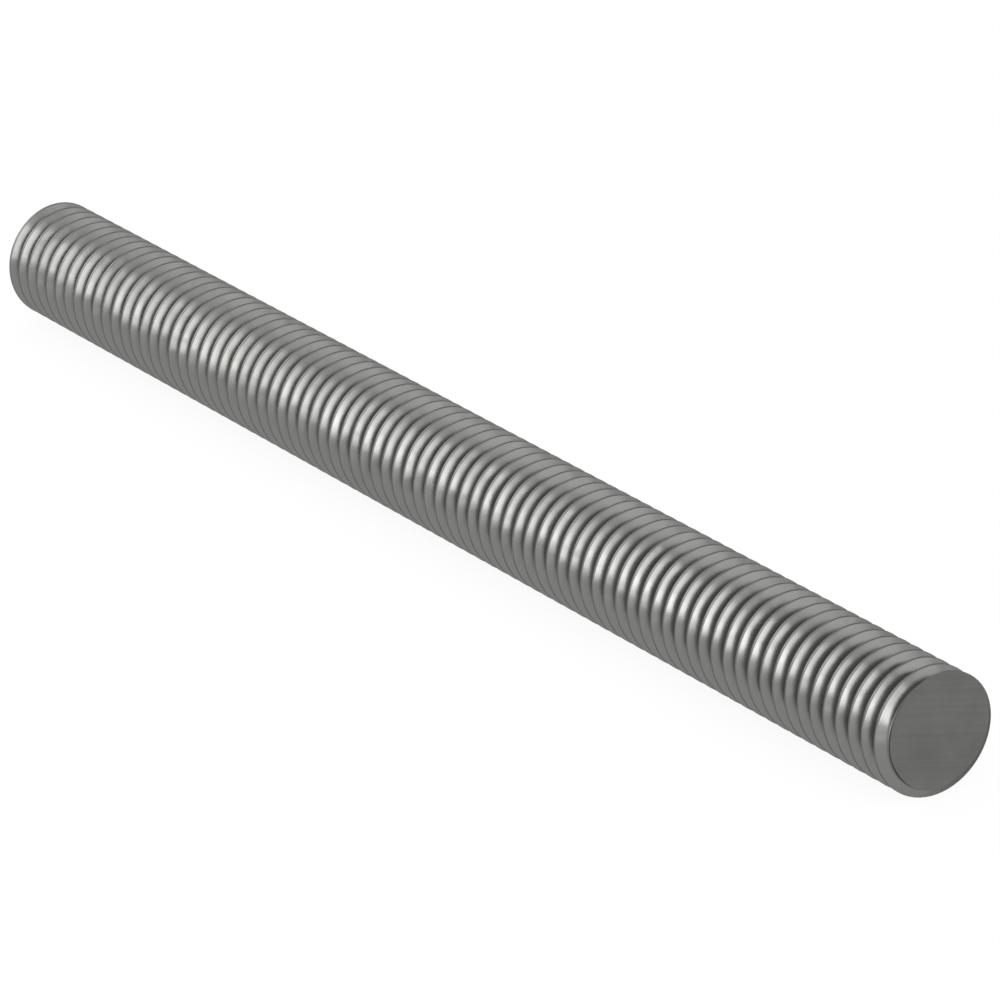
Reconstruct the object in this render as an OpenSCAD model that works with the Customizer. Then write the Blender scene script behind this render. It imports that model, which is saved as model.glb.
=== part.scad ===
/* [Rod] */
// Overall length of the rod, end face to end face
rod_length = 158.75; // [60:0.25:200]
// Major diameter, over the crests of the thread
major_d = 12.7; // [8:0.1:24]

/* [Thread] */
// Threads in one inch of length
threads_per_inch = 13; // [10:0.5:16]
// Angle between the two flanks of a groove, in degrees
flank_angle = 60; // [50:1:70]
// Share of the sharp V's height that is cut off its tip to make the flat crest
crest_cut_share = 0.125; // [0.1:0.005:0.2]
// Share of the sharp V's height that is filled in at its root to make the flat groove floor
root_fill_share = 0.25; // [0.15:0.005:0.3]
// Where a crest runs out at the +X end face, in degrees from the top towards +Y
run_out_angle = 10; // [0:1:359]
// Flat facets that make up each flank in one turn
facets_per_turn = 16; // [14:1:20]

/* [Hidden] */

inch = 25.4;
full_turn = 360;
half_turn = 180;
quarter_turn = 90;
round_fn = 128;

pitch = inch / threads_per_inch;
major_r = major_d / 2;

// Radii of the sharp V that the two flanks would make, and of the groove floor
v_height = pitch / 2 / tan(flank_angle / 2);
v_tip_r = major_r + crest_cut_share * v_height;
v_root_r = v_tip_r - v_height;
core_r = v_root_r + root_fill_share * v_height;

// The V winds past both end faces, so that each face cuts it square
turns_past_end = 2;
turns = ceil(rod_length / pitch) + 2 * turns_past_end;
steps = turns * facets_per_turn;
step_angle = full_turn / facets_per_turn;
step_rise = pitch / facets_per_turn;
// Corners stand out by this much, so that the facets enclose as much as the true spiral does
equal_area = sqrt(step_angle * PI / half_turn / sin(step_angle));
// Height where the V starts, set so that its tip meets the far end face at run_out_angle
run_out_turn = (half_turn - run_out_angle) / full_turn;
v_start = rod_length - pitch * (turns - turns_past_end + run_out_turn);
v_end = v_start + turns * pitch;

function spiral_point(r, step, rise) = [
    equal_area * r * cos(step * step_angle),
    equal_area * r * sin(step * step_angle),
    v_start + step * step_rise + rise
];
// Places in the list of points: the V's tip and root take turns, and the two axis points come last
function tip(s) = 2 * s;
function root(s) = 2 * s + 1;

// Right-hand sharp V ridge wound solid round the Z axis, each turn's lower flank meeting the turn before
module sharp_v() {
    on_spiral = [for (s = [0 : steps]) each [
        spiral_point(v_tip_r, s, 0),
        spiral_point(v_root_r, s, pitch / 2)
    ]];
    on_axis = [[0, 0, v_start], [0, 0, v_end + pitch / 2]];
    bottom = len(on_spiral);
    top = bottom + 1;
    last_turn = steps - facets_per_turn;
    upper_flank = [for (s = [0 : steps - 1]) each [
        [tip(s), root(s), root(s + 1)],
        [tip(s), root(s + 1), tip(s + 1)]
    ]];
    lower_flank = [for (s = [0 : last_turn - 1]) each [
        [root(s), tip(s + facets_per_turn), tip(s + 1 + facets_per_turn)],
        [root(s), tip(s + 1 + facets_per_turn), root(s + 1)]
    ]];
    bottom_fan = [for (s = [0 : facets_per_turn - 1]) [bottom, tip(s), tip(s + 1)]];
    bottom_step = [[bottom, tip(facets_per_turn), root(0)], [bottom, root(0), tip(0)]];
    top_fan = [for (s = [last_turn : steps - 1]) [top, root(s + 1), root(s)]];
    top_step = [[top, tip(steps), root(steps)], [top, root(last_turn), tip(steps)]];
    polyhedron(
        concat(on_spiral, on_axis),
        concat(upper_flank, lower_flank, bottom_fan, bottom_step, top_fan, top_step)
    );
}

// The bar cuts the V's tip to a flat crest, and the core fills its root to a flat floor
module threaded_bar() {
    cylinder(h = rod_length, r = core_r, $fn = round_fn);
    intersection() {
        cylinder(h = rod_length, r = major_r, $fn = round_fn);
        sharp_v();
    }
}

// Lies along X, its middle over the origin and its crests on z = 0
module threaded_rod() {
    color("#8b8c8c")
        translate([-rod_length / 2, 0, major_r])
            rotate([0, quarter_turn, 0])
                threaded_bar();
}

threaded_rod();
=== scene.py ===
"""A steel rod threaded over its whole length, lying on the pale floor of a studio.

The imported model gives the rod's length and its major diameter. This script winds the finished thread
to those sizes, dresses it in steel, and sets the floor, the lamps and the camera round it.
"""

import logging
import math
from dataclasses import dataclass, field
from enum import Enum, IntEnum

import bmesh
import bpy
from mathutils import Matrix, Vector


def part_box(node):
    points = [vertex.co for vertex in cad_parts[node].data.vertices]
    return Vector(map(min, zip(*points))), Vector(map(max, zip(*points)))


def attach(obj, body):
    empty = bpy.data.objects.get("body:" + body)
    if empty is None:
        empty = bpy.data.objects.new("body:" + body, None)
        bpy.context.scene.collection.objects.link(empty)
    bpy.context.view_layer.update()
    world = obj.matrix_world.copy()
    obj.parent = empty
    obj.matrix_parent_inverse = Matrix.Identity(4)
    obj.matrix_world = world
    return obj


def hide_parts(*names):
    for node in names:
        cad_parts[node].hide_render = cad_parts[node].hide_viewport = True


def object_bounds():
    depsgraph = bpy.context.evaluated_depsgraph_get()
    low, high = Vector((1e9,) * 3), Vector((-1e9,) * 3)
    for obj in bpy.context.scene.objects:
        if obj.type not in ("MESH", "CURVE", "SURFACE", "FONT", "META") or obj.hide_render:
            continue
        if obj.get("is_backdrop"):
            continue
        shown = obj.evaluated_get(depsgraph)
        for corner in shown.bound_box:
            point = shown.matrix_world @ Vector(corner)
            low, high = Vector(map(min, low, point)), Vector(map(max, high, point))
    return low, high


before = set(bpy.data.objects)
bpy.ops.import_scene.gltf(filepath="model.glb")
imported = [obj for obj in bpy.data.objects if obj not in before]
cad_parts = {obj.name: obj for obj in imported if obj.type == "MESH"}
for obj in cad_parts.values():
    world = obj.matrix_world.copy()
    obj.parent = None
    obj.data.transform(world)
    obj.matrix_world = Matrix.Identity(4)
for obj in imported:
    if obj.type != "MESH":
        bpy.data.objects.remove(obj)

LOG = logging.getLogger("threaded_rod")

MM = 0.001
INCH_MM = 25.4
FULL_TURN_DEG = 360
AXIS = Vector((1.0, 0.0, 0.0))
WHITE = "#ffffff"

# the sRGB curve is a straight line up to the knee, and a power above it
SRGB_KNEE = 0.04045
SRGB_SLOPE = 12.92
SRGB_OFFSET = 0.055
SRGB_POWER = 2.4

# a Mix node keeps its colour sockets behind those for numbers and vectors
MIX_A = 6
MIX_B = 7
MIX_RESULT = 2


def linear(code: str) -> tuple[float, float, float, float]:
    """Turn an sRGB hex colour to the linear one that a shader socket takes.

    Args:
        code: six hex digits after a hash, such as "#8b8c8c".

    Returns:
        Red, green, blue and an alpha of 1.
    """
    parts = [int(code[i : i + 2], 16) / 255 for i in (1, 3, 5)]
    red, green, blue = (
        p / SRGB_SLOPE if p <= SRGB_KNEE else ((p + SRGB_OFFSET) / (1 + SRGB_OFFSET)) ** SRGB_POWER
        for p in parts
    )
    return red, green, blue, 1.0


def add_node(
    tree: bpy.types.NodeTree,
    kind: str,
    links: dict[str | int, object] | None = None,
    **settings: object,
) -> bpy.types.Node:
    """Add a node, set its own properties and fill its sockets.

    Args:
        tree: the node tree that takes the node.
        kind: the node's type, such as "ShaderNodeTexNoise".
        links: each input's name or number, with the output that feeds it or the value that it holds.
        settings: the node's own properties, by name.

    Returns:
        The new node.
    """
    node = tree.nodes.new(kind)
    for name, value in settings.items():
        setattr(node, name, value)
    for name, source in (links or {}).items():
        if isinstance(source, bpy.types.NodeSocket):
            tree.links.new(source, node.inputs[name])
        else:
            node.inputs[name].default_value = source
    return node


def start_metal(name: str, edge_tint: str) -> tuple[bpy.types.Material, bpy.types.ShaderNode]:
    """Start the material of a metal.

    Args:
        name: the material's name.
        edge_tint: the hex colour that its reflections take at a grazing angle.

    Returns:
        The material, and its shader.
    """
    material = bpy.data.materials.new(name)
    material.use_nodes = True
    shader = material.node_tree.nodes["Principled BSDF"]
    shader.inputs["Metallic"].default_value = 1.0
    shader.inputs["Specular Tint"].default_value = linear(edge_tint)
    return material, shader


def stand_aimed(
    name: str, data: bpy.types.ID, aim: Vector, back: Vector, distance: float
) -> bpy.types.Object:
    """Put a lamp or a camera in the studio, turned to face one point.

    Args:
        name: the object's name.
        data: the light's or the camera's own data.
        aim: the point that it faces.
        back: the direction from that point to the object, as a vector of length 1.
        distance: how far it stands from the point, in metres.

    Returns:
        The object.
    """
    thing = bpy.data.objects.new(name, data)
    bpy.context.scene.collection.objects.link(thing)
    thing.location = aim + back * distance
    thing.rotation_euler = back.to_track_quat("Z", "Y").to_euler()
    return thing


@dataclass(frozen=True)
class ThreadForm:
    """The section of the groove that is wound round the bar, in millimetres and degrees.

    The crest cut and the root fill are shares of the height of the sharp V that the flanks would make.
    """

    turns_per_inch: float = 13.0
    flank_deg: float = 60.0
    crest_cut: float = 0.125
    root_fill: float = 0.25
    crest_round: float = 0.04
    root_round: float = 0.14
    crest_steps: int = 2
    root_steps: int = 3
    flank_end_share: float = 0.07

    @property
    def pitch(self) -> float:
        """Distance from one crest to the next."""
        return INCH_MM / self.turns_per_inch

    @property
    def lean(self) -> float:
        """Length along the axis that a flank takes up for each unit of its depth."""
        return math.tan(math.radians(self.flank_deg / 2))

    @property
    def sharp_height(self) -> float:
        """Height of the sharp V that the flanks would make."""
        return self.pitch / 2 / self.lean

    @property
    def depth(self) -> float:
        """Depth of the groove, from crest to floor."""
        return self.sharp_height * (1 - self.crest_cut - self.root_fill)

    def _corner(
        self, tip: Vector, before: Vector, after: Vector, radius: float, steps: int
    ) -> list[Vector]:
        """Round one corner of the section.

        Args:
            tip: the sharp corner.
            before: a point on the line that comes in.
            after: a point on the line that goes out.
            radius: the arc's radius.
            steps: how many short lines make the arc.

        Returns:
            The arc's points, from one line to the other.
        """
        into, out = (before - tip).normalized(), (after - tip).normalized()
        half = into.angle(out) / 2
        centre = tip + (into + out).normalized() * radius / math.sin(half)
        start = tip + into * radius / math.tan(half) - centre
        end = tip + out * radius / math.tan(half) - centre
        return [
            centre + start.lerp(end, i / steps).normalized() * radius
            for i in range(steps + 1)
        ]

    def outline(self, crest_r: float) -> list[Vector]:
        """Trace the section over one pitch, from the middle of a crest to the middle of the next.

        Args:
            crest_r: the crest's distance from the axis.

        Returns:
            Points (along the axis, from the axis).
        """
        run = self.depth * self.lean
        crest = self.sharp_height * self.crest_cut * self.lean
        floor_r = crest_r - self.depth
        sharp = [
            Vector((0.0, crest_r)),
            Vector((crest, crest_r)),
            Vector((crest + run, floor_r)),
            Vector((self.pitch - crest - run, floor_r)),
            Vector((self.pitch - crest, crest_r)),
            Vector((self.pitch, crest_r)),
        ]
        crest_arc = (self.crest_round, self.crest_steps)
        root_arc = (self.root_round, self.root_steps)
        points = [sharp[0]]
        for i, (radius, steps) in enumerate((crest_arc, root_arc, root_arc, crest_arc), 1):
            arc = self._corner(sharp[i], sharp[i - 1], sharp[i + 1], radius, steps)
            ends_a_flank = i in (2, 4)
            if ends_a_flank:
                # a point near each end of the flank keeps its shading as flat as the flank
                start = points[-1]
                shares = (self.flank_end_share, 1 - self.flank_end_share)
                points += [start.lerp(arc[0], share) for share in shares]
            points += arc
        return points + [sharp[-1]]


def rod_millimetres(tree: bpy.types.NodeTree, axis_height: float) -> bpy.types.NodeSocket:
    """Give a point's place in millimetres, measured from the rod's own axis.

    Args:
        tree: the finish's node tree.
        axis_height: the axis's height over the floor, in millimetres.

    Returns:
        The vector output.
    """
    place = add_node(tree, "ShaderNodeTexCoord")
    scaled = add_node(
        tree,
        "ShaderNodeMapping",
        {
            "Vector": place.outputs["Object"],
            "Location": (0, 0, -axis_height),
            "Scale": (1 / MM, 1 / MM, 1 / MM),
        },
    )
    return scaled.outputs[0]


@dataclass(frozen=True)
class RolledThreadSteel:
    """Mild steel bar, its thread cold rolled between dies and then thinly zinc plated.

    The dies burnish the flanks, so they are the smoothest part, and the crests and the bottom of the
    groove are rougher. The crests are painted a darker grey, painted shade for the thin dark lines between
    the ridges, and the bottom of the groove is painted darker still, painted shade in the groove.

    The root shade fade gives two heights over the bottom of the groove, and the crest shade fade two
    depths under the crest, and between them one colour turns to the other. A noise's value mostly keeps to
    `noise_range`.
    """

    name: str = "cold_rolled_zinc_plated_steel"
    flank: str = "#7d7d7b"
    # crest grey: painted shade on the crests, for the thin dark lines between the ridges
    crest: str = "#747472"
    # root grey: painted shade at the bottom of the groove
    root: str = "#6a6a68"
    edge_tint: str = "#9a9a98"
    root_shade_fade_mm: tuple[float, float] = (0.03, 0.2)
    crest_shade_fade_mm: tuple[float, float] = (0.05, 0.015)
    roughness: float = 0.27
    dull_roughness: float = 0.36
    roughness_swing: float = 0.04
    noise_range: tuple[float, float] = (0.3, 0.7)
    cloud_mm: float = 3.2
    cloud_detail: float = 1.0
    cloud_grain: float = 0.4
    cloud_height_mm: float = 0.22
    streak_mm: float = 0.16
    streak_detail: float = 1.0
    streak_height_mm: float = 0.0015

    def make(self, axis_height: float, crest_r: float, core_r: float) -> bpy.types.Material:
        """Build the finish for a thread of the given size.

        Args:
            axis_height: the axis's height over the floor, in millimetres.
            crest_r: the crest's radius in millimetres.
            core_r: the radius at the bottom of the groove.

        Returns:
            The material.
        """
        material, shader = start_metal(self.name, self.edge_tint)
        tree = material.node_tree
        point = rod_millimetres(tree, axis_height)
        across = add_node(tree, "ShaderNodeVectorMath", {0: point, 1: (0, 1, 1)}, operation="MULTIPLY")
        length = add_node(tree, "ShaderNodeVectorMath", {0: across.outputs[0]}, operation="LENGTH")
        radius = length.outputs["Value"]
        along = add_node(tree, "ShaderNodeSeparateXYZ", {0: point}).outputs["X"]
        round_axis = add_node(tree, "ShaderNodeVectorMath", {0: across.outputs[0]}, operation="NORMALIZE")

        # soft clouds in the burnish, a few millimetres long and different on each ridge
        drift = add_node(tree, "ShaderNodeMath", {0: along, 1: 1 / self.cloud_mm}, operation="MULTIPLY")
        turn = add_node(
            tree,
            "ShaderNodeVectorMath",
            {0: round_axis.outputs[0], "Scale": crest_r / self.cloud_mm},
            operation="SCALE",
        )
        cloud = add_node(
            tree,
            "ShaderNodeTexNoise",
            {
                "Vector": turn.outputs[0],
                "W": drift.outputs[0],
                "Scale": 1.0,
                "Detail": self.cloud_detail,
                "Roughness": self.cloud_grain,
            },
            noise_dimensions="4D",
        )
        # die marks that run along the groove, drawn a little coarser than the real ones so that they show
        depth = add_node(tree, "ShaderNodeMath", {0: radius, 1: 1 / self.streak_mm}, operation="MULTIPLY")
        lane = add_node(tree, "ShaderNodeCombineXYZ", {0: depth.outputs[0]})
        marks = add_node(
            tree, "ShaderNodeVectorMath", {0: turn.outputs[0], 1: lane.outputs[0]}, operation="ADD"
        )
        streak = add_node(
            tree,
            "ShaderNodeTexNoise",
            {
                "Vector": marks.outputs[0],
                "W": drift.outputs[0],
                "Scale": 1.0,
                "Detail": self.streak_detail,
            },
            noise_dimensions="4D",
        )

        # painted shade: a darker grey at the bottom of the groove and on the crest, brighter on the flanks
        # between them
        root_from, root_to = self.root_shade_fade_mm
        bottom = add_node(
            tree,
            "ShaderNodeMapRange",
            {
                "Value": radius,
                "From Min": core_r + root_from,
                "From Max": core_r + root_to,
                "To Min": 1.0,
                "To Max": 0.0,
            },
            interpolation_type="SMOOTHSTEP",
        )
        crest_from, crest_to = self.crest_shade_fade_mm
        top = add_node(
            tree,
            "ShaderNodeMapRange",
            {"Value": radius, "From Min": crest_r - crest_from, "From Max": crest_r - crest_to},
            interpolation_type="SMOOTHSTEP",
        )
        # mixes in the root grey, painted shade at the bottom of the groove
        groove = add_node(
            tree,
            "ShaderNodeMix",
            {"Factor": bottom.outputs[0], MIX_A: linear(self.flank), MIX_B: linear(self.root)},
            data_type="RGBA",
        )
        # mixes in the crest grey, painted shade on the crests
        colour = add_node(
            tree,
            "ShaderNodeMix",
            {"Factor": top.outputs[0], MIX_A: groove.outputs[MIX_RESULT], MIX_B: linear(self.crest)},
            data_type="RGBA",
        )
        tree.links.new(colour.outputs[MIX_RESULT], shader.inputs["Base Color"])

        dull = add_node(
            tree, "ShaderNodeMath", {0: bottom.outputs[0], 1: top.outputs[0]}, operation="MAXIMUM"
        )
        base = add_node(
            tree,
            "ShaderNodeMapRange",
            {"Value": dull.outputs[0], "To Min": self.roughness, "To Max": self.dull_roughness},
        )
        noise_low, noise_high = self.noise_range
        uneven = add_node(
            tree,
            "ShaderNodeMapRange",
            {
                "Value": cloud.outputs[0],
                "From Min": noise_low,
                "From Max": noise_high,
                "To Min": -self.roughness_swing,
                "To Max": self.roughness_swing,
            },
        )
        rough = add_node(
            tree, "ShaderNodeMath", {0: base.outputs[0], 1: uneven.outputs[0]}, operation="ADD"
        )
        tree.links.new(rough.outputs[0], shader.inputs["Roughness"])

        swell = add_node(
            tree,
            "ShaderNodeBump",
            {"Height": cloud.outputs[0], "Strength": 1.0, "Distance": self.cloud_height_mm * MM},
        )
        lines = add_node(
            tree,
            "ShaderNodeBump",
            {
                "Height": streak.outputs[0],
                "Strength": 1.0,
                "Distance": self.streak_height_mm * MM,
                "Normal": swell.outputs[0],
            },
        )
        tree.links.new(lines.outputs[0], shader.inputs["Normal"])
        return material


@dataclass(frozen=True)
class SawnSteel:
    """The same bar cut through with a fine saw: flat, grey and unplated, with faint lines across it.

    The lines are weighed by `line_share` and added to the clouds, and the colour turns from one grey to
    the other over `mark_range` of their sum.
    """

    name: str = "fine_sawn_mild_steel"
    colour: str = "#71716f"
    shade: str = "#676765"
    edge_tint: str = "#9a9a98"
    roughness: float = 0.42
    roughness_swing: float = 0.03
    cloud_mm: float = 5.0
    cloud_detail: float = 3.0
    cloud_grain: float = 0.6
    blade_tilt_deg: float = 13.0
    line_mm: float = 0.35
    line_length_mm: float = 50.0
    line_detail: float = 2.0
    line_height_mm: float = 0.0016
    line_share: float = 0.5
    mark_range: tuple[float, float] = (0.5, 1.0)

    def make(self, axis_height: float) -> bpy.types.Material:
        """Build the finish.

        Args:
            axis_height: the axis's height over the floor, in millimetres.

        Returns:
            The material.
        """
        material, shader = start_metal(self.name, self.edge_tint)
        tree = material.node_tree
        point = rod_millimetres(tree, axis_height)
        cloud = add_node(
            tree,
            "ShaderNodeTexNoise",
            {
                "Vector": point,
                "Scale": 1 / self.cloud_mm,
                "Detail": self.cloud_detail,
                "Roughness": self.cloud_grain,
            },
        )
        # the blade's lines cross the whole face, drawn coarser than the real ones so that they show
        stretched = add_node(
            tree,
            "ShaderNodeMapping",
            {
                "Vector": point,
                "Rotation": (math.radians(-self.blade_tilt_deg), 0, 0),
                "Scale": (self.line_length_mm, self.line_length_mm, self.line_mm),
            },
            vector_type="TEXTURE",
        )
        lines = add_node(
            tree,
            "ShaderNodeTexNoise",
            {"Vector": stretched.outputs[0], "Scale": 1.0, "Detail": self.line_detail},
        )
        marked = add_node(
            tree,
            "ShaderNodeMath",
            {0: lines.outputs[0], 1: self.line_share, 2: cloud.outputs[0]},
            operation="MULTIPLY_ADD",
        )
        mark_low, mark_high = self.mark_range
        soft = add_node(
            tree,
            "ShaderNodeMapRange",
            {"Value": marked.outputs[0], "From Min": mark_low, "From Max": mark_high},
        )
        colour = add_node(
            tree,
            "ShaderNodeMix",
            {"Factor": soft.outputs[0], MIX_A: linear(self.colour), MIX_B: linear(self.shade)},
            data_type="RGBA",
        )
        tree.links.new(colour.outputs[MIX_RESULT], shader.inputs["Base Color"])
        rough = add_node(
            tree,
            "ShaderNodeMapRange",
            {
                "Value": soft.outputs[0],
                "To Min": self.roughness - self.roughness_swing,
                "To Max": self.roughness + self.roughness_swing,
            },
        )
        tree.links.new(rough.outputs[0], shader.inputs["Roughness"])
        bump = add_node(
            tree,
            "ShaderNodeBump",
            {"Height": lines.outputs[0], "Strength": 1.0, "Distance": self.line_height_mm * MM},
        )
        tree.links.new(bump.outputs[0], shader.inputs["Normal"])
        return material


class RodSurface(IntEnum):
    """The rod's two finishes, in the order of its mesh's material slots."""

    THREAD = 0
    END = 1


@dataclass
class ThreadedRod:
    """The rod: one bar, its thread wound from end to end and both ends cut square.

    The thread is wound `spare_turns` past each end, so that the cuts go through it. Points closer together
    than `merge_mm` become one, and a point within `on_cut_mm` of a cut lies on it.
    """

    node: str = "threaded_rod"
    form: ThreadForm = field(default_factory=ThreadForm)
    thread_finish: RolledThreadSteel = field(default_factory=RolledThreadSteel)
    end_finish: SawnSteel = field(default_factory=SawnSteel)
    steps_per_turn: int = 62
    run_out_deg: float = 10.0
    spare_turns: int = 2
    merge_mm: float = 1e-4
    on_cut_mm: float = 1e-5

    def build(self) -> bpy.types.Object:
        """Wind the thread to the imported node's size and dress it.

        Returns:
            The finished rod.
        """
        low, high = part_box(self.node)
        radius = (high.z - low.z) / 2 / MM
        bm = bmesh.new()
        self._wind(bm, radius, (high.x - low.x) / MM)
        bm.transform(Matrix.Translation((0, 0, radius)))
        bm.transform(Matrix.Translation((0, 0, low.z)) @ Matrix.Scale(MM, 4))
        mesh = bpy.data.meshes.new("rod")
        bm.to_mesh(mesh)
        bm.free()
        rod = bpy.data.objects.new("rod", mesh)
        bpy.context.scene.collection.objects.link(rod)
        axis_height = low.z / MM + radius
        finishes = {
            RodSurface.THREAD: self.thread_finish.make(axis_height, radius, radius - self.form.depth),
            RodSurface.END: self.end_finish.make(axis_height),
        }
        for surface in RodSurface:
            mesh.materials.append(finishes[surface])
        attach(rod, "root")
        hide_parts(self.node)
        return rod

    def _wind(self, bm: bmesh.types.BMesh, radius: float, length: float) -> None:
        """Wind the section round the axis, and cut it square at both ends.

        Args:
            bm: the mesh to fill, in millimetres about the X axis.
            radius: the crest's radius.
            length: the rod's length.
        """
        pitch = self.form.pitch
        line = [bm.verts.new((p.x, 0, p.y)) for p in self.form.outline(radius)]
        edges = [bm.edges.new(pair) for pair in zip(line, line[1:])]
        bmesh.ops.spin(
            bm,
            geom=line + edges,
            axis=AXIS,
            dvec=AXIS * pitch / self.steps_per_turn,
            angle=math.tau,
            steps=self.steps_per_turn,
            use_merge=False,
        )
        turns = 1
        whole_turns = math.ceil(length / pitch)
        while turns < whole_turns + 2 * self.spare_turns:
            copy = bmesh.ops.duplicate(bm, geom=bm.verts[:] + bm.edges[:] + bm.faces[:])
            bmesh.ops.translate(
                bm,
                vec=AXIS * pitch * turns,
                verts=[v for v in copy["geom"] if isinstance(v, bmesh.types.BMVert)],
            )
            turns *= 2
        bmesh.ops.remove_doubles(bm, verts=bm.verts[:], dist=self.merge_mm)
        # the section's crest starts at the top, and a right-hand thread comes back to run_out_deg past it
        turns_to_end = whole_turns + self.spare_turns - self.run_out_deg / FULL_TURN_DEG
        bmesh.ops.translate(bm, vec=AXIS * (length / 2 - pitch * turns_to_end), verts=bm.verts[:])
        for face in bm.faces:
            face.smooth = True
        for side in (-1, 1):
            cut = bmesh.ops.bisect_plane(
                bm,
                geom=bm.verts[:] + bm.edges[:] + bm.faces[:],
                dist=self.on_cut_mm,
                plane_co=AXIS * side * length / 2,
                plane_no=AXIS * side,
                clear_outer=True,
            )
            rim = [e for e in cut["geom_cut"] if isinstance(e, bmesh.types.BMEdge)]
            for edge in rim:
                edge.smooth = False
            made = bmesh.ops.contextual_create(bm, geom=rim)
            for face in made["faces"]:
                face.smooth = False
                face.material_index = RodSurface.END.value
            LOG.info("end %+d: %d rim edges, %d faces", side, len(rim), len(made["faces"]))
        bmesh.ops.recalc_face_normals(bm, faces=bm.faces[:])
        LOG.info("rod: %d faces, closed %s", len(bm.faces), all(e.is_manifold for e in bm.edges))


@dataclass(frozen=True)
class PaperFloor:
    """White background paper: matt, and bright enough to meet the white surround with no edge.

    The camera sees `glow` of it as plain white, and the rest as lit paper that holds a faint shadow.
    """

    name: str = "white_background_paper"
    colour: str = "#fcfcfc"
    glow: float = 0.92

    def make(self) -> bpy.types.Material:
        """Build the finish.

        Returns:
            The material.
        """
        material = bpy.data.materials.new(self.name)
        material.use_nodes = True
        tree = material.node_tree
        tree.nodes.clear()
        paper = add_node(tree, "ShaderNodeBsdfDiffuse", {"Color": linear(self.colour)})
        white = add_node(tree, "ShaderNodeEmission", {"Color": linear(WHITE), "Strength": 1.0})
        path = add_node(tree, "ShaderNodeLightPath")
        seen = add_node(
            tree, "ShaderNodeMath", {0: path.outputs["Is Camera Ray"], 1: self.glow}, operation="MULTIPLY"
        )
        # metal and glass show the plain white too
        for ray in ("Is Glossy Ray", "Is Transmission Ray"):
            seen = add_node(
                tree, "ShaderNodeMath", {0: seen.outputs[0], 1: path.outputs[ray]}, operation="MAXIMUM"
            )
        mix = add_node(
            tree, "ShaderNodeMixShader", {0: seen.outputs[0], 1: paper.outputs[0], 2: white.outputs[0]}
        )
        add_node(tree, "ShaderNodeOutputMaterial", {"Surface": mix.outputs[0]})
        return material


class LampRole(Enum):
    """What each lamp does for the rod."""

    KEY = "strip_for_the_bright_band"
    WIDE = "wide_box_behind_the_strip"
    FAR_SIDE = "box_for_the_second_band"
    BACK = "box_behind_for_the_crests"
    NEAR_SIDE = "box_for_the_near_side"


@dataclass(frozen=True)
class Lamp:
    """A soft box aimed at the rod, with its size and distance in metres and its power in watts.

    It is placed by angles: degrees from +X towards +Y, and degrees up from the floor.
    """

    role: LampRole
    azimuth: float
    elevation: float
    width: float
    height: float
    power: float
    distance: float = 1.2

    def place(self, aim: Vector) -> None:
        """Hang the lamp in its direction from the rod.

        Args:
            aim: the point that it shines at.
        """
        data = bpy.data.lights.new(self.role.value, "AREA")
        data.shape = "RECTANGLE"
        data.size = self.width
        data.size_y = self.height
        data.energy = self.power
        a, e = math.radians(self.azimuth), math.radians(self.elevation)
        back = Vector((math.cos(a) * math.cos(e), math.sin(a) * math.cos(e), math.sin(e)))
        stand_aimed(self.role.value, data, aim, back, self.distance)


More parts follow.
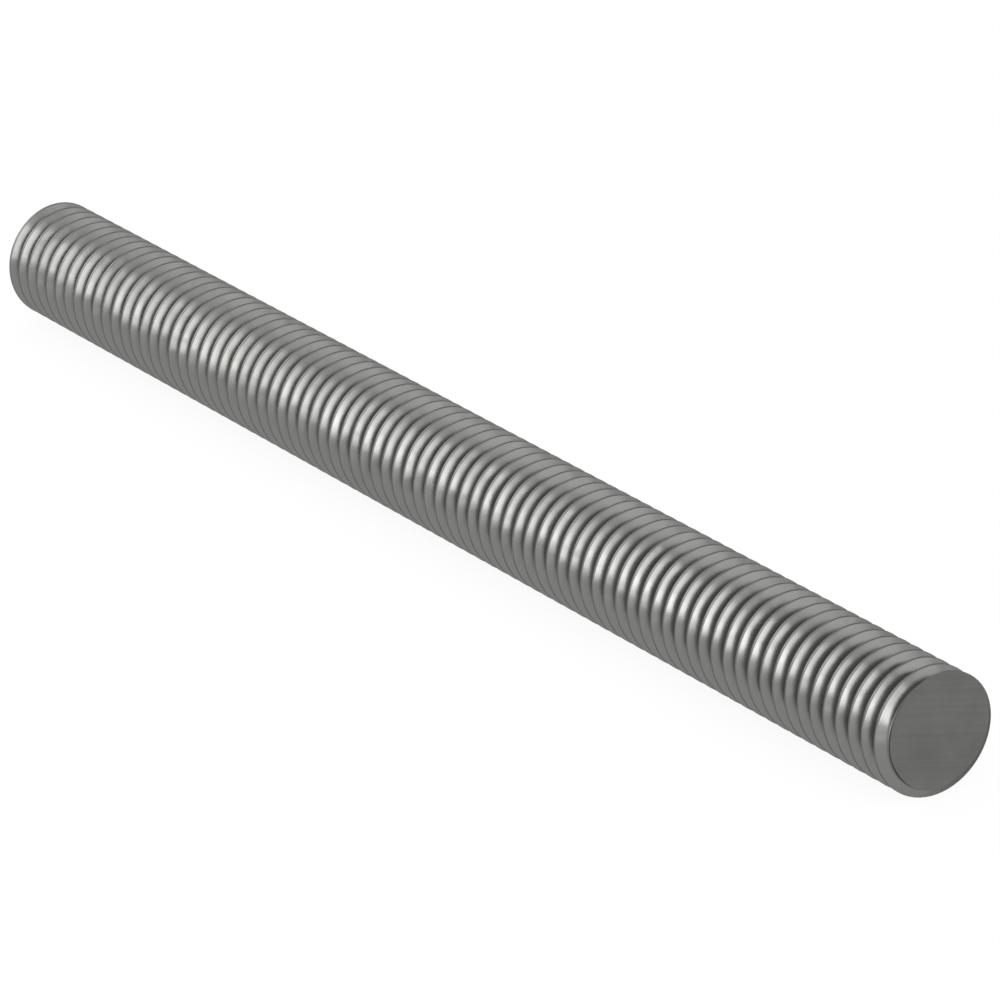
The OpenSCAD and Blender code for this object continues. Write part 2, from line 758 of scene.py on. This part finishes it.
@dataclass
class Studio:
    """The floor, the lamps, the white surround and the camera.

    Lengths are in metres, apart from the lens's and the sensor's. The camera's azimuth goes from -Y
    towards +X.
    """

    azimuth_deg: float = 55.69
    elevation_deg: float = 21.74
    distance: float = 0.6548
    lens_mm: float = 235.16
    sensor_mm: float = 36.0
    aim: tuple[float, float, float] = (0.00804, -0.0001, 0.00621)
    floor_size: float = 6.0
    surround_strength: float = 1.0
    paper: PaperFloor = field(default_factory=PaperFloor)
    lamps: tuple[Lamp, ...] = (
        Lamp(LampRole.KEY, azimuth=340.0, elevation=4.0, width=0.50, height=0.38, power=1.95),
        Lamp(LampRole.WIDE, azimuth=350.0, elevation=18.0, width=0.64, height=0.56, power=3.0),
        Lamp(LampRole.FAR_SIDE, azimuth=41.0, elevation=24.0, width=0.68, height=0.52, power=0.74),
        Lamp(
            LampRole.BACK, azimuth=200.0, elevation=24.0, width=0.73, height=0.54, power=3.0, distance=1.0
        ),
        Lamp(
            LampRole.NEAR_SIDE,
            azimuth=290.0,
            elevation=12.0,
            width=0.54,
            height=0.43,
            power=3.4,
            distance=1.0,
        ),
    )

    def build(self) -> None:
        """Set up everything round the rod."""
        low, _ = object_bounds()
        aim = Vector(self.aim)
        self._floor(low.z)
        self._surround()
        for lamp in self.lamps:
            lamp.place(aim)
        self._camera(aim)

    def _floor(self, height: float) -> None:
        """Lay the pale floor.

        Args:
            height: the floor's height in metres.
        """
        bm = bmesh.new()
        bmesh.ops.create_grid(bm, x_segments=1, y_segments=1, size=self.floor_size / 2)
        bmesh.ops.translate(bm, vec=(0, 0, height), verts=bm.verts[:])
        mesh = bpy.data.meshes.new("floor")
        bm.to_mesh(mesh)
        bm.free()
        floor = bpy.data.objects.new("floor", mesh)
        bpy.context.scene.collection.objects.link(floor)
        mesh.materials.append(self.paper.make())
        floor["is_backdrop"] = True

    def _surround(self) -> None:
        """Light the room evenly from all round."""
        world = bpy.data.worlds.new("studio")
        bpy.context.scene.world = world
        world.use_nodes = True
        background = world.node_tree.nodes["Background"]
        background.inputs["Color"].default_value = linear(WHITE)
        background.inputs["Strength"].default_value = self.surround_strength

    def _camera(self, aim: Vector) -> None:
        """Stand the camera off to one side and a little above.

        Args:
            aim: the point that it looks at.
        """
        a, e = math.radians(self.azimuth_deg), math.radians(self.elevation_deg)
        back = Vector((math.sin(a) * math.cos(e), -math.cos(a) * math.cos(e), math.sin(e)))
        data = bpy.data.cameras.new("camera")
        data.sensor_width = self.sensor_mm
        data.lens = self.lens_mm
        bpy.context.scene.camera = stand_aimed("camera", data, aim, back, self.distance)


def main() -> None:
    """Build the rod and its studio."""
    logging.basicConfig(level=logging.INFO, format="%(name)s: %(message)s")
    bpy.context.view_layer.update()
    rod = ThreadedRod().build()
    LOG.info("%s: %d triangles", rod.name, sum(len(p.vertices) - 2 for p in rod.data.polygons))
    Studio().build()
    bpy.context.scene.view_settings.view_transform = "Standard"


if __name__ == "__main__":
    main()
